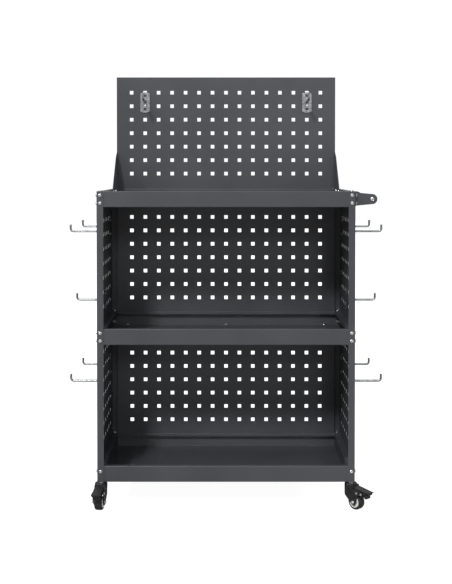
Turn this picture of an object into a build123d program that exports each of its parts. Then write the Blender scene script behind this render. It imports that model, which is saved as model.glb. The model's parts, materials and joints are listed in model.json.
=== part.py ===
"""Pegboard display cart: three rimmed trays on four angle posts, perforated back and
side panels, a perforated header board, J hooks, a push handle and four braked casters.

X is to the right, Y to the back and Z up. The origin is on the ground under the middle."""
import os
from math import cos, radians, sin

from build123d import *

# ---- frame ----
sheet = 1.0              # sheet steel of the trays, posts and panels
bend = 1.5               # outside radius of a folded edge
frame_width = 650.0      # over the posts, along X
frame_depth = 346.0      # over the posts, along Y
tray_pitch = 347.0       # one tray to the next
tray_height = 40.0
post_flange = 17.0       # width of each leg of a post
post_corner = 4.0        # rounding of a post's top corner
rim_flange = 16.0        # flat rim that turns inward at a tray's top
rim_return = 8.5         # lip that turns down from the rim's inner edge

# ---- panels ----
header_height = 314.0    # the board above the top tray
panel_fold = 12.0        # depth of a back panel, face to rear edge
side_fold = 12.0         # flange along the top and bottom of a side panel
hole_size = 10.0         # square peg hole
hole_pitch = 38.0
hole_margin = 30.0       # least distance of a hole's centre from the panel's edge
gusset_sheet = 1.5
gusset_reach = 116.0     # along the tray's side rim, forward of the header
gusset_rise = 104.0      # up the header's side
gusset_nose = 15.0       # drop of the gusset's blunted top corner
gusset_foot = 10.0       # part of the gusset below the rim's top

# ---- fasteners ----
bolt_radius = 2.0
bolt_head_radius = 4.8
bolt_head_height = 2.8
bolt_clearance = 0.15    # radial, in sheet metal holes
socket_flats = 2.5
socket_depth = 1.2
nut_flats = 7.0
nut_height = 2.4
nut_gap = 0.1            # between two nuts that meet in a corner
bolt_tail = 0.4          # thread showing past a nut
drill = 20.0             # half length of a drilling cut, longer than any stack of sheets
upper_bolt_drop = 10.0   # below a tray's top
lower_bolt_rise = 10.0   # above a tray's underside
bottom_bolt_drop = 13.5  # the single bolt of the bottom tray, below its top
panel_bolt_inset = 30.0  # of the outer bolts of a back panel, from its edge

# ---- handle ----
handle_sheet = 2.0
handle_reach = 44.0      # grip axis, out from the post's side
handle_end_radius = 13.0
handle_root = 34.0       # height of an arm where it leaves the post
grip_radius = 9.0
grip_wall = 1.5
grip_plug = 20.0         # length of the threaded plug in each end of the grip
handle_bolt_radius = 3.0
handle_head_radius = 5.5
handle_head_height = 3.0

# ---- hooks ----
hook_plate = 2.0
hook_width = 26.0
hook_height = 57.0
hook_shoulder = (7.5, 3.5)   # width and height of a corner's chamfer
hook_top = 0.8           # plate's top edge above the upper hole's centre
hook_tab = 8.0           # width of a tab
hook_drop = 5.0          # how far a tab reaches down behind the panel
hook_window = 7.0        # height of the opening that a tab leaves
hook_back_gap = 0.3      # between a tab and the panel's back
hook_crease = (1.4, 2.6)     # depth and height of the pressed line
hook_crease_drop = 29.5
hook_hole_radius = 1.9
hook_hole_drop = 35.5
rod_radius = 3.0
rod_reach = 77.5         # over the tip, out from the panel
rod_drop = 24.3          # rod's axis below the upper hole's centre
rod_rise = 18.0          # tip's end above the rod's axis
rod_bend = 7.0

# ---- casters ----
caster_inset = 9.0       # swivel axis in from the post's two outer faces
wheel_radius = 20.0
wheel_trail = 18.0       # axle ahead of the swivel axis
wheel_roof_gap = 7.0     # tyre to the roof of the fork's slot
tyre_width = 20.0
tyre_shoulder = 3.5
hub_radius = 14.0
hub_width = 20.4
hub_recess = (8.5, 4.0)  # radius and depth of the dished middle
hub_boss_radius = 5.0
wheel_side_gap = 1.3     # hub to cheek
cheek = 2.5
axle_radius = 3.0
axle_clearance = 0.05
axle_head = (4.5, 3.0)
axle_tail = 2.5          # thread showing past the axle's nut
washer_radius = 4.5
dome_radius = 16.0
dome_rise = 17.7         # dome's top above the slot's roof
dome_gap = 0.3           # under the stem's collar
dome_height = 11.0
dome_round = 3.5
dome_groove = (0.7, 1.0)
fork_lobe = 8.0          # radius of a cheek's round end about the axle
stem_radius = 4.0
stem_collar_flats = 16.0
stem_collar = 2.0
kingpin_radius = 5.0
kingpin_clearance = 0.06
kingpin_head = (7.0, 3.0)
stem_nut_radius = 6.0
stem_nut_height = 6.0
stem_tail = 1.0          # thread showing past the stem's nut
pedal_pivot_out = 10.0   # pivot ahead of the axle
pedal_pivot_rise = 4.5   # pivot above the tyre's top
pedal_rivet_out = 6.0    # second rivet, ahead of the shoe's inner face
pedal_rivet_room = 2.2   # around the second rivet, in the pedal's walls
pedal_pin_radius = 2.0
pedal_pin_head = (3.0, 1.2)
pedal_lug = 4.5
pedal_side_gap = 0.5
pedal_plate = 2.2
pedal_wall = 2.4
pedal_back_rise = 10.5   # top plate's rear edge above the slot's roof
pedal_tip_rise = 2.5     # the same of its front edge
pedal_tip_out = 26.0     # front edge ahead of the tyre
pedal_nose = 5.0         # length of the level strip at the front edge
shoe_gap = 2.2           # brake shoe to tyre
shoe_angle = 36.0        # place of the shoe's lower corner around the axle
shoe_length = 5.0
toe_stop = (11.0, 6.5, 13.0)     # ahead of the tyre, length, and drop below the slot's roof
toe_step = (17.5, 6.0, 3.0)

half_width = frame_width / 2
half_depth = frame_depth / 2
axle_height = wheel_radius
fork_roof = 2 * wheel_radius + wheel_roof_gap
dome_top = fork_roof + dome_rise
tray_lift = dome_top + dome_gap + stem_collar
tray_x = half_width - sheet
tray_y = half_depth - sheet
rim_x = tray_x - rim_flange
rim_y = tray_y - rim_flange
tray_floors = [tray_lift + tray_pitch * level for level in range(3)]
post_top = tray_floors[2] + tray_height
panel_face = tray_y - panel_fold
nut_reach = nut_flats * 0.578 + nut_gap
corner_bolt = 2 * sheet + nut_height + nut_reach
rim_bolt_x = tray_x - rim_flange / 2
rim_bolt_y = tray_y - rim_flange / 2
panel_bolt_y = (panel_face + tray_y) / 2
fork_inner = hub_width / 2 + wheel_side_gap
fork_outer = fork_inner + cheek
pivot_x = wheel_trail + pedal_pivot_out
pivot_z = 2 * wheel_radius + pedal_pivot_rise
shoe_reach = wheel_radius + shoe_gap
shoe_x = wheel_trail + shoe_reach * cos(radians(shoe_angle))
shoe_z = axle_height + shoe_reach * sin(radians(shoe_angle))
rivet_x = shoe_x + pedal_rivet_out
wheel_front = wheel_trail + wheel_radius
grip_x = half_width + handle_reach
grip_z = tray_floors[2] + tray_height / 2
arm_y = tray_y - rim_flange

caster_corners = {
    "front_left": (-1, -1, 263.0),
    "front_right": (1, -1, 315.0),
    "rear_left": (-1, 1, 97.0),
    "rear_right": (1, 1, 45.0),
}


def block(x0, x1, y0, y1, z0, z1):
    middle = Pos((x0 + x1) / 2, (y0 + y1) / 2, (z0 + z1) / 2)
    return middle * Box(abs(x1 - x0), abs(y1 - y0), abs(z1 - z0))


def ring(outer_x, outer_y, wall, z0, z1):
    outer = block(-outer_x, outer_x, -outer_y, outer_y, z0, z1)
    return outer - block(wall - outer_x, outer_x - wall, wall - outer_y, outer_y - wall, z0, z1)


def along(point, direction, shape):
    """Places a shape made up the Z axis at a point, pointing in a direction."""
    return Plane(origin=point, z_dir=direction).location * shape


def span(point, direction, radius, low, high):
    """A round bar from low to high along a direction through a point."""
    return along(point, direction, Pos(0, 0, (low + high) / 2) * Cylinder(radius, high - low))


def cut_holes(shape, places):
    for point, direction in places:
        shape = shape - span(point, direction, bolt_radius + bolt_clearance, -drill, drill)
    return shape


def hex_prism(flats, height):
    return extrude(RegularPolygon(flats / 2, 6, major_radius=False), height)


def bolt(grip):
    """A domed socket bolt: the head sits on z = 0 and the shank goes down."""
    head = Pos(0, 0, bolt_head_height / 2) * Cylinder(bolt_head_radius, bolt_head_height)
    head = fillet(head.edges().group_by(Axis.Z)[-1], bolt_head_height * 0.85)
    length = grip + nut_height + bolt_tail
    shank = Pos(0, 0, -length / 2) * Cylinder(bolt_radius, length)
    socket = Pos(0, 0, bolt_head_height - socket_depth) * hex_prism(socket_flats, socket_depth)
    return head + shank - socket


def nut():
    return hex_prism(nut_flats, nut_height) - Pos(0, 0, nut_height / 2) * Cylinder(bolt_radius, nut_height)


# ---- where every bolt goes: (head seat, outward direction, thickness gripped) ----
def post_bolt_places():
    heights = [tray_floors[0] + tray_height - bottom_bolt_drop]
    for level in (1, 2):
        heights.append(tray_floors[level] + lower_bolt_rise)
        heights.append(tray_floors[level] + tray_height - upper_bolt_drop)
    places = []
    for side in (-1, 1):
        for end in (-1, 1):
            for z in heights:
                face = (side * (half_width - corner_bolt), end * half_depth, z)
                places.append((face, (0, end, 0), 2 * sheet))
                plate = handle_sheet if side == 1 and z > tray_floors[2] else 0
                flank = (side * (half_width + plate), end * (half_depth - corner_bolt), z)
                places.append((flank, (side, 0, 0), 2 * sheet + plate))
    return places


def rim_bolt_places():
    places = []
    for level, floor in enumerate(tray_floors):
        over = 0 if level == 2 else sheet
        under = sheet if level == 0 else 0
        for side in (-1, 1):
            for end in (-1, 1):
                seat = (side * rim_bolt_x, end * rim_bolt_y, floor + tray_height + over)
                places.append((seat, (0, 0, 1), over + sheet + under))
    return places


def panel_bolt_places():
    outer = rim_x - panel_bolt_inset
    places = []
    for x in (-outer, 0, outer):
        for level, floor in enumerate(tray_floors):
            foot = (x, panel_bolt_y, floor + tray_height + sheet)
            places.append((foot, (0, 0, 1), 2 * sheet))
            if level > 0:
                places.append(((x, panel_bolt_y, floor + sheet), (0, 0, 1), 2 * sheet))
    return places


def gusset_bolt_places():
    z = post_top - sheet - nut_reach
    places = []
    for side in (-1, 1):
        for y in (panel_face - gusset_reach * 0.36, panel_face - gusset_reach + nut_flats):
            seat = (side * (rim_x - gusset_sheet), y, z)
            places.append((seat, (-side, 0, 0), gusset_sheet + sheet))
    return places


def all_bolt_places():
    return post_bolt_places() + rim_bolt_places() + panel_bolt_places() + gusset_bolt_places()


def near(places, low, high):
    """The bolt places inside a box, which are the ones that a piece has to be drilled for."""
    kept = []
    for point, direction, grip in places:
        if all(low[i] <= point[i] <= high[i] for i in range(3)):
            kept.append((point, direction))
    return kept


# ---- sheet metal ----
def make_tray(level):
    base = tray_floors[level]
    top = base + tray_height
    tray = block(-tray_x, tray_x, -tray_y, tray_y, base, base + sheet)
    tray = tray + ring(tray_x, tray_y, sheet, base, top)
    tray = tray + ring(tray_x, tray_y, rim_flange, top - sheet, top)
    tray = tray + ring(rim_x + sheet, rim_y + sheet, sheet, top - rim_return, top)
    rims = tray.edges().filter_by(Plane.XY)
    folded = [edge for edge in rims if abs(edge.center().Z - top) < 0.01]
    folded += [edge for edge in rims if abs(edge.center().Z - base) < 0.01]
    tray = fillet(folded, bend)
    reach = 2 * handle_sheet
    low = (-half_width - reach, -half_depth - reach, base - reach)
    high = (half_width + reach, half_depth + reach, top + reach)
    tray = cut_holes(tray, near(all_bolt_places(), low, high))
    if level == 0:
        for side, end, turn in caster_corners.values():
            tray = tray - span(stem_axis(side, end), (0, 0, 1), stem_radius + bolt_clearance, 0, tray_lift + rim_return)
    return tray


def stem_axis(side, end):
    return (side * (half_width - caster_inset), end * (half_depth - caster_inset), 0)


def make_rail(side):
    """A channel inside each end of the bottom tray that takes the caster stems."""
    inner = rim_x + sheet
    low = tray_lift + sheet
    high = tray_lift + tray_height - sheet
    length = tray_y - 2 * sheet
    rail = block(inner, inner + sheet, -length, length, low, high)
    for z in (low, high - sheet):
        rail = rail + block(inner, tray_x - sheet - bend, -length, length, z, z + sheet)
    rail = cut_holes(rail, near(rim_bolt_places(), (0, -half_depth, low), (half_width, half_depth, high + 3 * sheet)))
    for end in (-1, 1):
        rail = rail - span(stem_axis(1, end), (0, 0, 1), stem_radius + bolt_clearance, 0, low + 3 * sheet)
    return rail if side == 1 else mirror(rail, Plane.YZ)


def make_post(side, end):
    post = block(half_width - post_flange, half_width, tray_y, half_depth, tray_lift, post_top)
    post = post + block(tray_x, half_width, half_depth - post_flange, half_depth, tray_lift, post_top)
    uprights = post.edges().filter_by(Axis.Z)
    outer = uprights.sort_by(lambda edge: edge.center().X + edge.center().Y)[-1]
    post = fillet(outer, bend)
    free = []
    for axis, line in ((Axis.Y, Axis.X), (Axis.X, Axis.Y)):
        short = [edge for edge in post.edges().filter_by(axis) if abs(edge.length - sheet) < 0.01]
        top = [edge for edge in short if edge.center().Z > post_top - 0.01]
        free.append(min(top, key=lambda edge: edge.center().X + edge.center().Y))
    post = fillet(free, post_corner)
    if end == -1:
        post = mirror(post, Plane.XZ)
    if side == -1:
        post = mirror(post, Plane.YZ)
    low = (min(0, side * 2 * half_width), min(0, end * 2 * half_depth), 0)
    high = (max(0, side * 2 * half_width), max(0, end * 2 * half_depth), post_top)
    return cut_holes(post, near(post_bolt_places(), low, high))


def hole_line(length):
    """Centres of the peg holes along a panel's side, about its middle."""
    count = int((length - 2 * hole_margin) / hole_pitch) + 1
    return [(index - (count - 1) / 2) * hole_pitch for index in range(count)]


def back_rows(low, high):
    return [(low + high) / 2 + offset for offset in hole_line(high - low)]


header_rows = back_rows(post_top, post_top + header_height)
bay_rows = [
    back_rows(tray_floors[level] + tray_height, tray_floors[level + 1]) for level in (0, 1)
]
back_columns = hole_line(2 * rim_x)
side_columns = hole_line(frame_depth - 2 * post_flange)


def make_back_panel(low, high, rows):
    """A shallow pan, open at the back, with peg holes in its face."""
    pan = block(-rim_x, rim_x, panel_face, tray_y, low, high)
    pan = pan - block(sheet - rim_x, rim_x - sheet, panel_face + sheet, tray_y, low + sheet, high - sheet)
    front = [edge for edge in pan.edges() if abs(edge.center().Y - panel_face) < 0.01]
    sides = [edge for edge in front if abs(edge.center().X) > rim_x - 0.01]
    pan = fillet(sides, bend * 0.6)
    grid = [Pos(x, 0, z) * Rotation(90, 0, 0) * Rectangle(hole_size, hole_size) for x in back_columns for z in rows]
    pegs = [extrude(Pos(0, panel_face + 2 * sheet, 0) * square, 3 * sheet, both=True) for square in grid]
    pan = pan - pegs
    reach = (rim_x, tray_y, high + 3 * sheet)
    return cut_holes(pan, near(panel_bolt_places(), (-rim_x, panel_face, low - sheet), reach))


def make_side_panel(side, level):
    low = tray_floors[level] + tray_height
    high = tray_floors[level + 1]
    panel = block(tray_x - sheet, tray_x, -tray_y, tray_y, low, high)
    for z in (low, high - sheet):
        panel = panel + block(tray_x - side_fold, tray_x, -tray_y, tray_y, z, z + sheet)
    pegs = []
    for y in side_columns:
        for z in bay_rows[level]:
            pegs.append(block(tray_x - 2 * sheet, tray_x + sheet, y - hole_size / 2, y + hole_size / 2,
                              z - hole_size / 2, z + hole_size / 2))
    panel = panel - pegs
    low_corner = (0, -half_depth, low - sheet)
    panel = cut_holes(panel, near(rim_bolt_places(), low_corner, (half_width, half_depth, low + 2 * sheet)))
    return panel if side == 1 else mirror(panel, Plane.YZ)


def make_gusset(side):
    foot = post_top - gusset_foot
    toe = panel_face - gusset_reach
    slope_top = post_top + gusset_rise - gusset_nose
    outline = [
        (panel_face, post_top),
        (panel_face, post_top + gusset_rise),
        (panel_face - 2 * gusset_nose, slope_top),
        (toe, post_top + 2 * sheet),
        (toe, foot),
        (rim_y - 2 * sheet, foot),
        (rim_y - 2 * sheet, post_top),
    ]
    web = extrude(Plane.YZ * Polygon(*outline, align=None), gusset_sheet, dir=(1, 0, 0))
    web = Pos(rim_x - gusset_sheet, 0, 0) * web
    soft = [edge for edge in web.edges().filter_by(Axis.X) if edge.center().Y < panel_face - 1]
    soft = [edge for edge in soft if edge.center().Y < rim_y - 10 and abs(edge.center().Z - post_top) > 1]
    web = fillet(soft, 3 * sheet)
    low = (0, -half_depth, 0)
    web = cut_holes(web, near(gusset_bolt_places(), low, (half_width, half_depth, 2 * post_top)))
    return web if side == 1 else mirror(web, Plane.YZ)


# ---- handle ----
def make_bracket(end):
    """A flange on the post's side, folded out into the arm that holds the grip."""
    root_low = grip_z - handle_root / 2
    root_high = grip_z + handle_root / 2
    flange = block(half_width, half_width + handle_sheet, arm_y, half_depth, root_low, root_high)
    flare = handle_end_radius * 0.99
    arm = Polygon((half_width, root_low), (grip_x, grip_z - flare), (grip_x, grip_z + flare),
                  (half_width, root_high), align=None)
    arm = arm + Pos(grip_x, grip_z) * Circle(handle_end_radius)
    arm = arm - Pos(grip_x, grip_z) * Circle(handle_bolt_radius + bolt_clearance)
    plate = Pos(0, arm_y, 0) * Rotation(90, 0, 0) * extrude(arm, handle_sheet, dir=(0, 0, 1))
    bracket = flange + plate
    corner = [edge for edge in bracket.edges().filter_by(Axis.Z) if edge.length > handle_root / 2]
    corner = [edge for edge in corner if abs(edge.center().X - half_width) < 0.01]
    corner = [edge for edge in corner if abs(edge.center().Y - arm_y + handle_sheet) < 0.01]
    bracket = fillet(corner, handle_sheet * 0.9)
    low = (half_width, 0, tray_floors[2])
    bracket = cut_holes(bracket, near(post_bolt_places(), low, (grip_x, half_depth, post_top)))
    return bracket if end == 1 else mirror(bracket, Plane.XZ)


def make_grip():
    length = arm_y - handle_sheet
    tube = span((grip_x, 0, grip_z), (0, 1, 0), grip_radius, -length, length)
    return tube - span((grip_x, 0, grip_z), (0, 1, 0), grip_radius - grip_wall, -length, length)


def make_grip_plugs():
    outer = arm_y - handle_sheet
    plugs = []
    for end in (-1, 1):
        point = (grip_x, end * outer, grip_z)
        plug = span(point, (0, -end, 0), grip_radius - grip_wall, 0, grip_plug)
        plugs.append(plug - span(point, (0, -end, 0), handle_bolt_radius, 0, grip_plug))
    return plugs


def make_handle_bolts():
    bolts = []
    for end in (-1, 1):
        head = Pos(0, 0, handle_head_height / 2) * Cylinder(handle_head_radius, handle_head_height)
        head = fillet(head.edges().group_by(Axis.Z)[-1], handle_head_height * 0.8)
        length = handle_sheet + grip_plug - 2 * sheet
        shank = Pos(0, 0, -length / 2) * Cylinder(handle_bolt_radius, length)
        socket = Pos(0, 0, handle_head_height - 2) * hex_prism(4, 2)
        bolts.append(along((grip_x, end * arm_y, grip_z), (0, end, 0), head + shank - socket))
    return bolts


# ---- hooks ----
def make_hook():
    """A J hook for the upper of two holes at the origin; it stands out along +X from x = 0."""
    half = hook_width / 2
    top = hook_top
    foot = top - hook_height
    wide, tall = hook_shoulder
    outline = [
        (half - wide, top), (half, top - tall), (half, foot + tall), (half - wide, foot),
        (wide - half, foot), (-half, foot + tall), (-half, top - tall), (wide - half, top),
    ]
    plate = extrude(Plane.YZ * Polygon(*outline, align=None), hook_plate, dir=(1, 0, 0))
    seat = -hole_size / 2
    back = sheet + hook_back_gap
    for drop in (0, hole_pitch):
        floor = seat - drop
        plate = plate - block(-1, hook_plate + 1, -hook_tab / 2, hook_tab / 2, floor - hook_window, floor)
        tab = block(-back - hook_plate, hook_plate, -hook_tab / 2, hook_tab / 2, floor, floor + hook_plate)
        plate = plate + tab
        plate = plate + block(-back - hook_plate, -back, -hook_tab / 2, hook_tab / 2, floor - hook_drop, floor + 1)
    depth, height = hook_crease
    crease = -hook_crease_drop
    plate = plate - block(hook_plate - depth, hook_plate + 1, -half, half, crease - height / 2, crease + height / 2)
    plate = plate - span((0, 0, -hook_hole_drop), (1, 0, 0), hook_hole_radius, -1, hook_plate + 1)
    line = rod_reach - rod_radius
    path = FilletPolyline((hook_plate / 2, 0, -rod_drop), (line, 0, -rod_drop),
                          (line, 0, rod_rise - rod_drop), radius=rod_bend)
    rod = sweep(Plane(origin=path @ 0, z_dir=path % 0) * Circle(rod_radius), path)
    tip = rod.edges().sort_by(Axis.Z)[-1]
    return plate + fillet(tip, rod_radius * 0.5)


def hook_places():
    """Node name, the upper hole's centre and the turn about Z."""
    places = []
    first, middle, last = 0, len(side_columns) // 2, -1
    spots = {
        "upper_rear": (1, -1, last), "upper_front": (1, -1, first), "upper_low": (1, 1, middle),
        "lower_rear": (0, -2, last), "lower_front": (0, -2, first),
    }
    for name, side, turn in (("left", -1, 180), ("right", 1, 0)):
        for spot, (level, row, column) in spots.items():
            point = (side * tray_x, side_columns[column], bay_rows[level][row])
            places.append((f"hook_{name}_{spot}", point, turn))
    for name, column in (("left", 1), ("right", -2)):
        point = (back_columns[column], panel_face, header_rows[-1])
        places.append((f"hook_header_{name}", point, -90))
    return places


# ---- casters ----
def make_stem():
    """The fixed part: threaded stem, hexagonal collar and kingpin, with its nut."""
    rail_top = tray_lift + 2 * sheet
    stem = span((0, 0, 0), (0, 0, 1), stem_radius, tray_lift, rail_top + stem_nut_height + stem_tail)
    stem = stem + Pos(0, 0, tray_lift - stem_collar) * hex_prism(stem_collar_flats, stem_collar)
    head_radius, head_height = kingpin_head
    head_top = fork_roof - dome_gap
    stem = stem + span((0, 0, 0), (0, 0, 1), kingpin_radius, head_top, tray_lift - stem_collar)
    stem = stem + span((0, 0, 0), (0, 0, 1), head_radius, head_top - head_height, head_top)
    cap = span((0, 0, 0), (0, 0, 1), stem_nut_radius, rail_top, rail_top + stem_nut_height)
    cap = cap - span((0, 0, 0), (0, 0, 1), stem_radius, rail_top, rail_top + stem_nut_height)
    return [stem, cap]


def side_plate(points, lobes, half):
    """An outline in the trail plane with round lobes, made to a half width about it."""
    outline = Polygon(*points, align=None)
    for (x, z), radius in lobes:
        outline = outline + Pos(x, z) * Circle(radius)
    return Rotation(90, 0, 0) * extrude(outline, half, both=True)


def make_fork():
    shoulder = dome_top - dome_height * 0.4
    back = fork_lobe - 0.5
    points = [
        (0.5 - dome_radius, shoulder), (0.5 - dome_radius, fork_roof + 1), (3 - dome_radius, fork_roof - 8),
        (wheel_trail - back, axle_height - 3), (wheel_trail + back, axle_height - 1.5),
        (pivot_x - 0.5, axle_height + 9), (pivot_x + 5, pivot_z - 4.5), (rivet_x + 4, pivot_z - 4),
        (rivet_x + 5, pivot_z + 1.5), (pivot_x + 6, pivot_z + 4), (dome_radius + 1, pivot_z + 8.5),
        (dome_radius, pivot_z + 10), (dome_radius - 1, shoulder),
    ]
    body = side_plate(points, [((wheel_trail, axle_height), fork_lobe)], fork_outer)
    corner = block(-2 * dome_radius, 0, -2 * dome_radius, 2 * dome_radius, 0, dome_top)
    body = body - (corner - span((0, 0, 0), (0, 0, 1), dome_radius, 0, dome_top))
    dome = span((0, 0, 0), (0, 0, 1), dome_radius, dome_top - dome_height, dome_top)
    dome = fillet(dome.edges().group_by(Axis.Z)[-1], dome_round)
    depth, height = dome_groove
    low = dome_top - dome_height * 0.55
    band = span((0, 0, 0), (0, 0, 1), dome_radius + 1, low, low + height)
    band = band - span((0, 0, 0), (0, 0, 1), dome_radius - depth, low, low + height)
    fork = body + dome - band
    ahead = pivot_x + 4 * dome_radius
    fork = fork - block(-2 * dome_radius, ahead, -fork_inner, fork_inner, -1, fork_roof)
    fork = fork - block(dome_radius + 0.5, ahead, -fork_inner, fork_inner, 0, 2 * fork_roof)
    fork = fork - span((0, 0, 0), (0, 0, 1), kingpin_radius + kingpin_clearance, 0, 2 * dome_top)
    fork = fork - span((wheel_trail, 0, axle_height), (0, 1, 0), axle_radius, -drill, drill)
    for x in (pivot_x, rivet_x):
        fork = fork - span((x, 0, pivot_z), (0, 1, 0), pedal_pin_radius, -drill, drill)
    return fork


def make_pins():
    """The axle bolt with its nut and washers, and the two pins of the brake pedal."""
    head_radius, head_height = axle_head
    centre = (wheel_trail, 0, axle_height)
    out = fork_outer
    axle = span(centre, (0, 1, 0), axle_radius, -out - head_height - axle_tail, out)
    head = along((wheel_trail, out, axle_height), (0, 1, 0), Pos(0, 0, head_height / 2) * Cylinder(
        head_radius, head_height))
    head = fillet(head.edges().sort_by(Axis.Y)[-1], head_height * 0.8)
    end_nut = along((wheel_trail, -out, axle_height), (0, -1, 0), hex_prism(2 * head_radius, head_height))
    end_nut = end_nut - span(centre, (0, 1, 0), axle_radius, -2 * out, 0)
    pieces = [axle + head, end_nut]
    inside = hub_width / 2 + axle_clearance
    for side in (-1, 1):
        washer = span(centre, (0, side, 0), washer_radius, inside, fork_inner)
        pieces.append(washer - span(centre, (0, side, 0), axle_radius, inside, fork_inner))
    pin_head, pin_height = pedal_pin_head
    for x in (pivot_x, rivet_x):
        point = (x, 0, pivot_z)
        pin = span(point, (0, 1, 0), pedal_pin_radius, -out, out)
        for side in (-1, 1):
            cap = Pos(0, 0, pin_height / 2) * Cylinder(pin_head, pin_height)
            cap = fillet(cap.edges().group_by(Axis.Z)[-1], pin_height * 0.8)
            pin = pin + along((x, side * out, pivot_z), (0, side, 0), cap)
        pieces.append(pin)
    return pieces


def make_hub():
    centre = (wheel_trail, 0, axle_height)
    half = hub_width / 2
    hub = span(centre, (0, 1, 0), hub_radius, -half, half)
    radius, depth = hub_recess
    for side in (-1, 1):
        hub = hub - span(centre, (0, side, 0), radius, half - depth, half)
        hub = hub + span(centre, (0, side, 0), hub_boss_radius, half - depth - 1, half)
    edges = [edge for edge in hub.edges().filter_by(GeomType.CIRCLE) if edge.radius > radius - 0.1]
    hub = fillet([edge for edge in edges if abs(abs(edge.center().Y) - half) < 0.01], 0.8)
    return hub - span(centre, (0, 1, 0), axle_radius + axle_clearance, -half, half)


def make_tyre():
    centre = (wheel_trail, 0, axle_height)
    half = tyre_width / 2
    tyre = span(centre, (0, 1, 0), wheel_radius, -half, half)
    tyre = fillet(tyre.edges().filter_by(GeomType.CIRCLE), tyre_shoulder)
    return tyre - span(centre, (0, 1, 0), hub_radius, -half, half)


def make_pedal():
    """The brake lever: a sloping plate, two side walls on the pivot, the shoe and the toe."""
    back_x = dome_radius + 1
    back_z = fork_roof + pedal_back_rise
    tip_x = wheel_front + pedal_tip_out
    nose_x = tip_x - pedal_nose
    half = fork_inner - pedal_side_gap
    slope = (pedal_tip_rise - pedal_back_rise) / (tip_x - back_x)

    def top_at(x):
        return back_z + slope * (x - back_x)

    plate = side_plate([
        (back_x, back_z), (nose_x, top_at(nose_x)), (tip_x, top_at(nose_x) + 0.6),
        (tip_x, top_at(nose_x) - 1.4), (nose_x, top_at(nose_x) - pedal_plate),
        (back_x, back_z - pedal_plate)], [], half)
    walls = side_plate([
        (back_x + 2, top_at(back_x + 2) - 1), (pivot_x - pedal_lug, pivot_z),
        (pivot_x + pedal_lug, pivot_z), (pivot_x + 8, pivot_z + 3.6), (nose_x - 1, top_at(nose_x) - 5),
        (nose_x - 1, top_at(nose_x) - 1)], [((pivot_x, pivot_z), pedal_lug)], half)
    inner = half - pedal_wall
    walls = walls - block(-tip_x, 2 * tip_x, -inner, inner, 0, 2 * back_z)
    pedal = plate + walls
    pedal = pedal + block(shoe_x, shoe_x + shoe_length, -inner, inner, shoe_z, top_at(shoe_x + shoe_length) - 1)
    for out, length, drop in (toe_stop, toe_step):
        x = wheel_front + out
        pedal = pedal + block(x, x + length, -inner, inner, fork_roof - drop, top_at(x + length) - 1)
    pedal = pedal - span((rivet_x, 0, pivot_z), (0, 1, 0), pedal_pin_radius + pedal_rivet_room, -half, half)
    pedal = pedal - span((pivot_x, 0, pivot_z), (0, 1, 0), pedal_pin_radius + axle_clearance, -half, half)
    return pedal


def save(name, shapes):
    if isinstance(shapes, list):
        shapes = Compound(children=shapes)
    export_step(shapes, f"parts/{name}.step")


def save_fasteners():
    bolts = {"post_bolts": post_bolt_places()}
    bolts["panel_bolts"] = rim_bolt_places() + panel_bolt_places() + gusset_bolt_places()
    nuts = []
    for name, places in bolts.items():
        made = []
        for point, direction, grip in places:
            made.append(along(point, direction, bolt(grip)))
            nuts.append(along(point, direction, Pos(0, 0, -grip - nut_height) * nut()))
        save(name, made)
    save("frame_nuts", nuts)


def save_casters():
    made = {"fork": make_fork(), "pins": make_pins(), "hub": make_hub(), "tyre": make_tyre(),
            "pedal": make_pedal()}
    stems = []
    for corner, (side, end, turn) in caster_corners.items():
        x, y, z = stem_axis(side, end)
        place = Pos(x, y, 0) * Rotation(0, 0, turn)
        stems += [Pos(x, y, 0) * piece for piece in make_stem()]
        for name, shape in made.items():
            pieces = shape if isinstance(shape, list) else [shape]
            save(f"caster_{corner}_{name}", [place * piece for piece in pieces])
    save("caster_stems", stems)


def main():
    os.makedirs("parts", exist_ok=True)
    for level, name in enumerate(("bottom", "middle", "top")):
        save(f"tray_{name}", make_tray(level))
    for side, name in ((-1, "left"), (1, "right")):
        save(f"base_rail_{name}", make_rail(side))
        save(f"header_gusset_{name}", make_gusset(side))
        for end, place in ((-1, "front"), (1, "rear")):
            save(f"post_{place}_{name}", make_post(side, end))
        for level, bay in enumerate(("lower", "upper")):
            save(f"side_panel_{bay}_{name}", make_side_panel(side, level))
    for level, bay in enumerate(("lower", "upper")):
        low = tray_floors[level] + tray_height
        save(f"back_panel_{bay}", make_back_panel(low, tray_floors[level + 1], bay_rows[level]))
    save("header_panel", make_back_panel(post_top, post_top + header_height, header_rows))
    for end, place in ((-1, "front"), (1, "rear")):
        save(f"handle_bracket_{place}", make_bracket(end))
    save("handle_grip", make_grip())
    save("handle_plugs", make_grip_plugs())
    save("handle_bolts", make_handle_bolts())
    hook = make_hook()
    for name, point, turn in hook_places():
        save(name, Pos(*point) * Rotation(0, 0, turn) * hook)
    save_fasteners()
    save_casters()


main()
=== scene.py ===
"""Looks for the pegboard display cart: powder-coated sheet steel, zinc-plated bolts and
hooks, and black stamped casters with white wheels. Metres, X right, Y back, Z up."""
import json
import math

import bmesh
import bpy
from mathutils import Matrix, Vector


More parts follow.
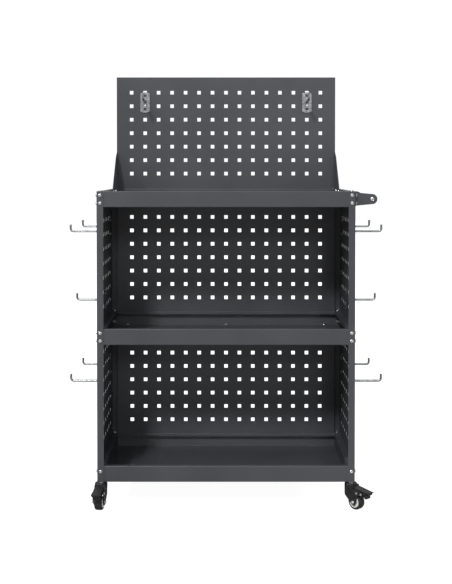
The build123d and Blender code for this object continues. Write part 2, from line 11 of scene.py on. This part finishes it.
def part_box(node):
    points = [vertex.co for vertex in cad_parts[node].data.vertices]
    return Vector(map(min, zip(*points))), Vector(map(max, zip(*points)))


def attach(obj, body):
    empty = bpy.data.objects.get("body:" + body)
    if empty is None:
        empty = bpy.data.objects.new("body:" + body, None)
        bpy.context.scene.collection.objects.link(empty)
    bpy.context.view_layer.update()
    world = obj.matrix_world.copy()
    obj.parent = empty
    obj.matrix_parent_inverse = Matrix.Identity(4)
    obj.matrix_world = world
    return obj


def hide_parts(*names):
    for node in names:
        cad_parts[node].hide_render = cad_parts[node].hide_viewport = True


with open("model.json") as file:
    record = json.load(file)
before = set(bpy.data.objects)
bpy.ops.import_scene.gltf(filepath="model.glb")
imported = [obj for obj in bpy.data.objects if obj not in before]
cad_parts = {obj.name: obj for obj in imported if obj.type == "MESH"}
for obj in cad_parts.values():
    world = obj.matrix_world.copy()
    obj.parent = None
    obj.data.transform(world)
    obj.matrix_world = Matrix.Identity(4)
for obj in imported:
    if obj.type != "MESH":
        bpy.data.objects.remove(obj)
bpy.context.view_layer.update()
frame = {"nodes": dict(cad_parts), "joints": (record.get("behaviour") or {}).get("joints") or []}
nodes = frame["nodes"]

MM = 0.001
corners = ("front_left", "front_right", "rear_left", "rear_right")
sharp_turn = math.radians(32)    # an edge that turns further than this is rounded
flat_turn = math.radians(1.5)    # faces that turn less than this are one face


# ---- node maths ----
class Shade:
    """A socket in a material's node tree. Arithmetic on it adds Math nodes."""

    def __init__(self, tree, socket=None):
        self.tree = tree
        self.socket = socket

    def node(self, kind, settings=None, inputs=None, output=0):
        """Adds a node: its settings first, then the values or links of its sockets."""
        made = self.tree.nodes.new(kind)
        for name, value in (settings or {}).items():
            setattr(made, name, value)
        for name, value in (inputs or {}).items():
            self.feed(made.inputs[name], value)
        return Shade(self.tree, made.outputs[output])

    def feed(self, target, value):
        if isinstance(value, Shade):
            self.tree.links.new(value.socket, target)
        else:
            target.default_value = value

    def math(self, operation, *values):
        return self.node("ShaderNodeMath", {"operation": operation}, dict(enumerate(values)))

    def __add__(self, other):
        return self.math("ADD", self, other)

    __radd__ = __add__

    def __sub__(self, other):
        return self.math("SUBTRACT", self, other)

    def __rsub__(self, other):
        return self.math("SUBTRACT", other, self)

    def __mul__(self, other):
        return self.math("MULTIPLY", self, other)

    __rmul__ = __mul__

    def step(self, low, high):
        """0 below low, 1 above high and straight between."""
        settings = {"clamp": True}
        inputs = {"Value": self, "From Min": low, "From Max": high}
        return self.node("ShaderNodeMapRange", settings, inputs)

    def place(self):
        """The spot on the surface, in metres."""
        return self.node("ShaderNodeTexCoord", output="Object")

    def stretch(self, scale):
        """The same with each axis scaled, so that a pattern is drawn out along one."""
        inputs = {"Vector": self.place(), "Scale": scale}
        return self.node("ShaderNodeMapping", None, inputs)

    def noise(self, scale, detail=2.0, rough=0.5, vector=None):
        inputs = {"Vector": vector or self.place(), "Scale": scale, "Detail": detail, "Roughness": rough}
        return self.node("ShaderNodeTexNoise", None, inputs)

    def blend(self, factor, first, second):
        """Mixes two colours, each a socket or three numbers."""
        pair = [c if isinstance(c, Shade) else (*c, 1) for c in (first, second)]
        inputs = {0: factor, 6: pair[0], 7: pair[1]}
        return self.node("ShaderNodeMix", {"data_type": "RGBA"}, inputs, output=2)

    def bump(self, height, strength, distance, normal=None):
        """A surface's normal with a height laid on it, over a base normal if one is given."""
        inputs = {"Height": height, "Strength": strength, "Distance": distance}
        if normal:
            inputs["Normal"] = normal
        return self.node("ShaderNodeBump", None, inputs)

    def painted_crevice_shade(self, reach):
        """A mask for painted shade: 1 deep in a crevice narrower than this reach, 0 on open faces."""
        inputs = {"Distance": reach}
        open_sky = self.node("ShaderNodeAmbientOcclusion", {"samples": 6}, inputs, output="AO")
        return (1 - open_sky).step(0.08, 0.6)

    def edges(self, radius):
        """The rounded normal of an edge of this radius, and how far it leans off the face."""
        soft = self.node("ShaderNodeBevel", {"samples": 4}, {"Radius": radius})
        face = self.node("ShaderNodeNewGeometry", output="Normal")
        product = {"operation": "DOT_PRODUCT"}
        lean = self.node("ShaderNodeVectorMath", product, {0: soft, 1: face}, output="Value")
        return soft, (1 - lean).step(0.0, 0.25)


def new_finish(name, build, **fixed):
    """A material whose build function returns what varies; fixed values go on the shader."""
    material = bpy.data.materials.new(name)
    material.use_nodes = True
    tree = material.node_tree
    shader = tree.nodes["Principled BSDF"]
    start = Shade(tree)
    for socket, value in fixed.items():
        shader.inputs[socket.replace("_", " ")].default_value = value
    for socket, value in build(start).items():
        start.feed(shader.inputs[socket], value)
    return material


# ---- finishes ----
paint_tone = (0.050, 0.0525, 0.0595)
paint_light = (0.062, 0.065, 0.0725)
paint_worn = (0.105, 0.108, 0.114)


def powder_coat(s):
    """Satin powder coat: a slow drift of tone, a fine speckle and an orange-peel surface."""
    drift = s.noise(5.0, detail=3.0)
    speckle = s.noise(1500.0, detail=1.0)
    soft, edge = s.edges(0.7 * MM)
    tone = s.blend(drift.step(0.35, 0.65), paint_tone, paint_light)
    tone = s.blend(speckle.step(0.62, 0.75) * 0.35, tone, paint_worn)
    scuffs = s.noise(60.0, detail=4.0)
    tone = s.blend(edge * scuffs.step(0.35, 0.7) * 0.5, tone, paint_worn)
    peel = s.noise(700.0, detail=2.0)
    return {
        "Base Color": tone,
        "Roughness": drift.step(0.3, 0.7) * 0.08 + speckle * 0.06 + 0.31,
        "Normal": s.bump(peel, 0.25, 0.05 * MM, soft),
    }


def zinc_plate(s):
    """Bright zinc with a faint blue and yellow cast, fine pitting and a painted highlight along its edges.
    """
    cloud = s.noise(90.0, detail=3.0)
    pits = s.noise(1800.0, detail=2.0)
    soft, edge = s.edges(0.3 * MM)
    tone = s.blend(cloud.step(0.35, 0.65), (0.60, 0.63, 0.68), (0.72, 0.71, 0.66))
    # Painted highlight: every edge is lightened evenly, as if catching light.
    tone = s.blend(edge * 0.5, tone, (0.85, 0.86, 0.88))
    return {
        "Base Color": tone,
        "Roughness": cloud * 0.16 + 0.20,
        "Normal": s.bump(pits, 0.15, 0.03 * MM, soft),
    }


def hook_plate(s):
    """Plated wire and plate: drawn lines, a cloudy tone, a painted highlight along the edges and painted
    shade in the hollows.
    """
    cloud = s.noise(140.0, detail=4.0)
    drawn = s.noise(40.0, detail=3.0, vector=s.stretch((3.0, 3.0, 22.0)))
    soft, edge = s.edges(0.4 * MM)
    tone = s.blend(cloud.step(0.3, 0.7), (0.27, 0.285, 0.30), (0.40, 0.41, 0.415))
    # Painted highlight: every edge is lightened evenly, as if catching light.
    tone = s.blend(edge * 0.6, tone, (0.68, 0.69, 0.70))
    # Painted shade: the crease and other narrow hollows are darkened, as if in shadow.
    tone = s.blend(s.painted_crevice_shade(3 * MM) * 0.85, tone, (0.035, 0.036, 0.038))
    return {
        "Base Color": tone,
        "Roughness": cloud * 0.18 + drawn * 0.10 + 0.20,
        "Normal": s.bump(drawn, 0.12, 0.05 * MM, soft),
    }


def black_steel(s):
    """Stamped steel under a black dip coat, rubbed brighter along its edges."""
    drift = s.noise(60.0, detail=4.0)
    grain = s.noise(1100.0, detail=2.0)
    soft, edge = s.edges(0.6 * MM)
    tone = s.blend(drift.step(0.35, 0.7), (0.010, 0.010, 0.011), (0.020, 0.020, 0.022))
    tone = s.blend(edge * drift.step(0.3, 0.6) * 0.6, tone, (0.075, 0.077, 0.080))
    return {
        "Base Color": tone,
        "Roughness": drift * 0.16 + 0.34,
        "Normal": s.bump(grain, 0.2, 0.06 * MM, soft),
    }


def tread_rubber(s):
    """Dense rubber, dusted grey where it has rolled."""
    dust = s.noise(120.0, detail=5.0, rough=0.65)
    grain = s.noise(900.0, detail=3.0)
    tone = s.blend(dust.step(0.5, 0.8) * 0.5, (0.014, 0.014, 0.015), (0.055, 0.053, 0.050))
    return {
        "Base Color": tone,
        "Roughness": dust * 0.2 + 0.5,
        "Normal": s.bump(grain, 0.35, 0.08 * MM),
    }


def white_nylon(s):
    """Moulded nylon, off-white, with a fine moulded grain and a little grime."""
    grime = s.noise(150.0, detail=5.0, rough=0.6)
    grain = s.noise(1300.0, detail=2.0)
    soft, _ = s.edges(0.4 * MM)
    tone = s.blend(grime.step(0.55, 0.85) * 0.5, (0.80, 0.80, 0.785), (0.52, 0.51, 0.48))
    return {
        "Base Color": tone,
        "Roughness": grime * 0.15 + 0.32,
        "Normal": s.bump(grain, 0.15, 0.05 * MM, soft),
    }


finishes = {
    "grey_paint": new_finish("grey_powder_coat", powder_coat, Specular_IOR_Level=0.5),
    "bright_zinc": new_finish("bright_zinc_plate", zinc_plate, Metallic=1.0),
    "hook_zinc": new_finish("plated_wire", hook_plate, Metallic=1.0),
    "caster_black": new_finish("black_dip_coat", black_steel, Specular_IOR_Level=0.3),
    "tyre": new_finish("tread_rubber", tread_rubber, Specular_IOR_Level=0.35),
    "wheel_white": new_finish("white_nylon", white_nylon, Subsurface_Weight=0.08, Subsurface_Scale=2 * MM),
}
for node in nodes.values():
    for place in node.material_slots:
        place.material = finishes[place.material.name.split(".")[0]]


# ---- mesh tools ----
def round_edges(work, width, segments=2):
    """Rounds every sharp edge."""
    sharp = [e for e in work.edges if e.is_manifold and e.calc_face_angle() > sharp_turn]
    bmesh.ops.bevel(work, geom=sharp, offset=width, segments=segments, affect="EDGES", clamp_overlap=True)


def add_piece(work, name, finish, body, *stands_for):
    """Makes the mesh an object that rides on a body and stands for its CAD nodes."""
    mesh = bpy.data.meshes.new(name)
    bmesh.ops.recalc_face_normals(work, faces=work.faces)
    for face in work.faces:
        face.smooth = True
    work.to_mesh(mesh)
    work.free()
    for left_over in ("custom_normal", "UVMap"):
        if left_over in mesh.attributes:
            mesh.attributes.remove(mesh.attributes[left_over])
    mesh.materials.append(finishes[finish])
    piece = bpy.data.objects.new(name, mesh)
    bpy.context.scene.collection.objects.link(piece)
    even = piece.modifiers.new("even_shading", "WEIGHTED_NORMAL")
    even.keep_sharp = True
    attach(piece, body)
    if stands_for:
        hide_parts(*stands_for)
    return piece


def softened(name, width, finish, body):
    """A CAD node's own shape with whole faces and rounded edges."""
    work = bmesh.new()
    work.from_mesh(nodes[name].data)
    bmesh.ops.remove_doubles(work, verts=work.verts, dist=0.01 * MM)
    bmesh.ops.dissolve_limit(work, angle_limit=flat_turn, verts=work.verts, edges=work.edges)
    round_edges(work, width)
    return add_piece(work, name + "_formed", finish, body, name)


def turned(outline_at, steps, centre, axis):
    """A closed ring turned about an axis. The outline, in mm, may change with the angle."""
    place = Matrix.Translation(centre) @ Vector(axis).to_track_quat("Z", "Y").to_matrix().to_4x4()
    work = bmesh.new()
    rings = []
    for index in range(steps):
        angle = math.tau * index / steps
        across = Vector((math.cos(angle), math.sin(angle), 0))
        spots = [(across * radius + Vector((0, 0, along))) * MM for along, radius in outline_at(angle)]
        rings.append([work.verts.new(place @ spot) for spot in spots])
    for index, ring in enumerate(rings):
        after = rings[(index + 1) % steps]
        for k, corner in enumerate(ring):
            following = (k + 1) % len(ring)
            work.faces.new((corner, ring[following], after[following], after[k]))
    return work


def both_sides(half):
    """An outline from its right half, listed from the outside in."""
    return half + [(-along, radius) for along, radius in reversed(half)]


# ---- casters, in mm from the wheel's middle: (along the axle, radius) ----
tread_radius = 20.0
tyre_seat = 14.0         # radius where the tyre sits on the hub
hub_face = 10.2          # half the hub's width
axle_bore = 3.06
rib_count = 6
rib_half_angle = math.radians(9)
rib_face = 9.3
web_face = 7.4           # the sunken web between the ribs
tyre_steps = 128
hub_steps = 120


def tyre_outline():
    """A crowned tread with two fine grooves, round shoulders and a raised sidewall ring."""
    crown = [(0.6, tread_radius), (3.4, tread_radius - 0.03)]
    groove = [(3.7, tread_radius - 0.45), (4.3, tread_radius - 0.45), (4.6, tread_radius - 0.08)]
    shoulder = [(6.2, 19.85), (7.9, 19.35), (9.1, 18.3), (9.8, 17.1), (9.95, 16.4)]
    sidewall = [(9.55, 16.1), (9.55, 15.5), (9.9, 15.2), (9.9, tyre_seat + 0.35), (9.6, tyre_seat)]
    return both_sides(list(reversed(crown + groove + shoulder + sidewall)))


def hub_outline(angle):
    """A dished wheel: a rim ring, a sunken web with ribs, and a boss round the axle."""
    swing = abs(math.remainder(angle, math.tau / rib_count))
    web = rib_face if swing < rib_half_angle else web_face
    lip = [(hub_face - 0.3, tyre_seat), (hub_face - 0.1, tyre_seat - 0.25), (hub_face, tyre_seat - 0.6)]
    rim = lip + [(hub_face, 11.7), (hub_face - 0.3, 11.3), (web, 10.9)]
    boss = [(web, 6.2), (hub_face - 0.4, 5.8), (hub_face, 5.4), (hub_face, 3.5)]
    boss = boss + [(hub_face - 0.4, axle_bore)]
    return both_sides(list(reversed(rim + boss)))


def dress_caster(corner):
    """A caster's moulded tyre and hub, and its formed fork and pedal."""
    joint = next(j for j in frame["joints"] if j["name"] == corner + "_roll")
    centre, axis = Vector(joint["pos_m"]), joint["axis"]
    stem = "caster_" + corner
    tyre = turned(lambda angle: tyre_outline(), tyre_steps, centre, axis)
    add_piece(tyre, stem + "_tyre_moulded", "tyre", stem + "_wheel", stem + "_tyre")
    hub = turned(hub_outline, hub_steps, centre, axis)
    round_edges(hub, 0.25 * MM, 1)
    add_piece(hub, stem + "_hub_moulded", "wheel_white", stem + "_wheel", stem + "_hub")
    softened(stem + "_fork", 0.6 * MM, "caster_black", stem + "_swivel")
    softened(stem + "_pedal", 0.5 * MM, "caster_black", stem + "_brake")


for corner in corners:
    dress_caster(corner)


# ---- hooks ----
wire_drop = 25.1 * MM    # the wire's middle below the plate's top edge
plate_front = 2.0 * MM   # the plate's thickness
wire_skin = 2.9          # radius, in mm, just inside the wire's surface
weld_steps = 40


def weld_outline(angle):
    """A fillet of weld round the wire, a little lumpy as it goes round."""
    lump = 0.22 * math.sin(5 * angle) + 0.12 * math.sin(11 * angle + 1)
    bead = [(0.0, 4.3 + lump), (0.55, 4.15 + lump), (1.15, 3.6 + lump / 2)]
    return [(0.0, wire_skin)] + bead + [(1.5, wire_skin)]


def dress_hooks():
    """Welds each hook's wire to its pressed plate."""
    for name in sorted(n for n in nodes if n.startswith("hook_")):
        low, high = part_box(name)
        middle = (low + high) / 2
        if "header" in name:
            out = Vector((0, -1, 0))
            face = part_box("header_panel")[0].y
            root = Vector((middle.x, face - plate_front, high.z - wire_drop))
        else:
            side = 1 if "right" in name else -1
            out = Vector((side, 0, 0))
            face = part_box("tray_top")[1].x
            root = Vector((side * (face + plate_front), middle.y, high.z - wire_drop))
        bead = turned(weld_outline, weld_steps, root, out)
        add_piece(bead, name + "_weld", "hook_zinc", "cart_frame")


dress_hooks()
for end in ("front", "rear"):
    softened("handle_bracket_" + end, 0.5 * MM, "grey_paint", "cart_frame")


# ---- studio ----
floor_half = 14.0        # metres
floor_glow = 0.13        # the floor's own light, as the object receives it
floor_white = 0.95       # the same as the camera sees it
air_light = 0.21         # even light from all round
air_white = 0.82         # added where the camera sees the air
air_shine = 0.32         # added where a glossy face mirrors it


def floor_board():
    """A wide pale board under the cart."""
    half = floor_half
    mesh = bpy.data.meshes.new("studio_floor")
    spots = [(-half, -half, 0), (half, -half, 0), (half, half, 0), (-half, half, 0)]
    mesh.from_pydata(spots, [], [(0, 1, 2, 3)])
    board = bpy.data.objects.new("studio_floor", mesh)
    bpy.context.scene.collection.objects.link(board)

    def paper(s):
        fibre = s.noise(400.0, detail=3.0)
        seen = s.node("ShaderNodeLightPath", output="Is Camera Ray")
        return {
            "Base Color": s.blend(fibre, (0.26, 0.26, 0.26), (0.30, 0.30, 0.30)),
            "Roughness": fibre * 0.1 + 0.85,
            "Emission Color": s.blend(seen, (floor_glow,) * 3, (floor_white,) * 3),
        }

    mesh.materials.append(new_finish("floor_paper", paper, Emission_Strength=1.0, Specular_IOR_Level=0.0))


def soft_sun(name, azimuth, elevation, width, strength, mirrored=True):
    """A light from far off: azimuth from the front, elevation and width in degrees. Glossy
    faces mirror it unless mirrored is False."""
    a, e = math.radians(azimuth), math.radians(elevation)
    away = Vector((math.sin(a) * math.cos(e), -math.cos(a) * math.cos(e), math.sin(e)))
    light = bpy.data.lights.new(name, "SUN")
    light.angle = math.radians(width)
    light.energy = strength
    lamp = bpy.data.objects.new(name, light)
    lamp.location = away * 4    # metres, only to keep it out of the way
    lamp.rotation_euler = (-away).to_track_quat("-Z", "Y").to_euler()
    lamp.visible_glossy = mirrored
    bpy.context.scene.collection.objects.link(lamp)


def studio():
    """White air, and five soft lights round the cart."""
    world = bpy.data.worlds.new("studio_air")
    bpy.context.scene.world = world
    world.use_nodes = True
    start = Shade(world.node_tree)
    seen = start.node("ShaderNodeLightPath", output="Is Camera Ray")
    back = world.node_tree.nodes["Background"]
    back.inputs["Color"].default_value = (1, 1, 1, 1)
    shine = start.node("ShaderNodeLightPath", output="Is Glossy Ray")
    start.feed(back.inputs["Strength"], seen * air_white + shine * air_shine + air_light)
    soft_sun("key_light", -17, 37, 8, 1.85)
    soft_sun("front_fill", 6, 18, 9, 0.29)
    soft_sun("left_light", -74, 46, 2.5, 1.3)
    soft_sun("right_light", 84, 30, 12, 1.10, mirrored=False)
    soft_sun("rear_light", 165, 40, 12, 1.50, mirrored=False)
    bpy.context.scene.view_settings.view_transform = "Standard"


def camera():
    """A little above the top tray, looking straight on and very slightly down."""
    distance, height = 2.794, 0.8561
    look_down = math.radians(1.356)
    data = bpy.data.cameras.new("front_view")
    data.lens = 64.47
    data.shift_y = -0.1677
    seer = bpy.data.objects.new("front_view", data)
    seer.location = (0, -distance, height)
    seer.rotation_euler = (math.pi / 2 - look_down, 0, 0)
    bpy.context.scene.collection.objects.link(seer)
    bpy.context.scene.camera = seer


floor_board()
studio()
camera()
